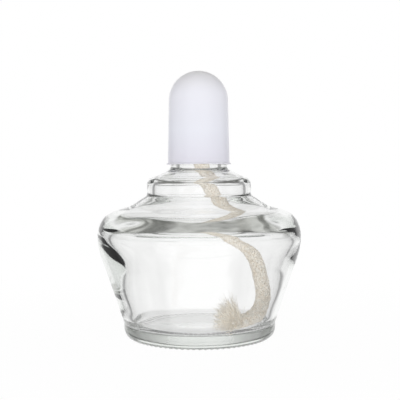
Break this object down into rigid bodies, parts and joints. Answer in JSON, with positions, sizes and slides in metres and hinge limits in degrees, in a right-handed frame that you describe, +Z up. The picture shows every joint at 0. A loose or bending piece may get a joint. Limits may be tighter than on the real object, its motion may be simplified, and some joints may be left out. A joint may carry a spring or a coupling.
{
  "type": "alcohol burner",
  "caption": "Laboratory alcohol burner: thick clear glass reservoir with stepped collar, porcelain wick holder, braided cotton wick and white round-topped snuffer cap.",
  "frame": {"origin": "on the lamp's own axis, at the flat ring it stands on", "axes": "+Z up along the lamp's axis through the neck and cap; the free wick lies towards +X and ends towards -Y, the viewer's side"},
  "size_m": [0.082, 0.082, 0.1069],
  "materials": {
    "clear_glass": "clear pressed soda-lime glass, slightly uneven inside, faint grey-green at the edges",
    "porcelain": "white glaze",
    "cotton": "round braided undyed cotton",
    "cotton_loose": "loose cotton fibres",
    "cap_plastic": "milky white moulded polypropylene, satin"
  },
  "bodies": {
    "lamp": {"glass_reservoir": "clear_glass", "wick": "cotton", "wick_tuft": "cotton_loose"},
    "holder": {"wick_holder": "porcelain"},
    "wick_end": {"wick_tip": "cotton"},
    "cap": {"cap": "cap_plastic"}
  },
  "joints": [
    {"name": "holder_lift", "type": "slide", "parent": "lamp", "child": "holder", "axis": [0, 0, 1], "range_m": [0, 0.03]},
    {"name": "wick_feed", "type": "slide", "parent": "holder", "child": "wick_end", "axis": [0, 0, 1], "range_m": [0, 0.0045]},
    {"name": "cap_lift", "type": "slide", "parent": "holder", "child": "cap", "axis": [0, 0, 1], "range_m": [0, 0.045]}
  ]
}
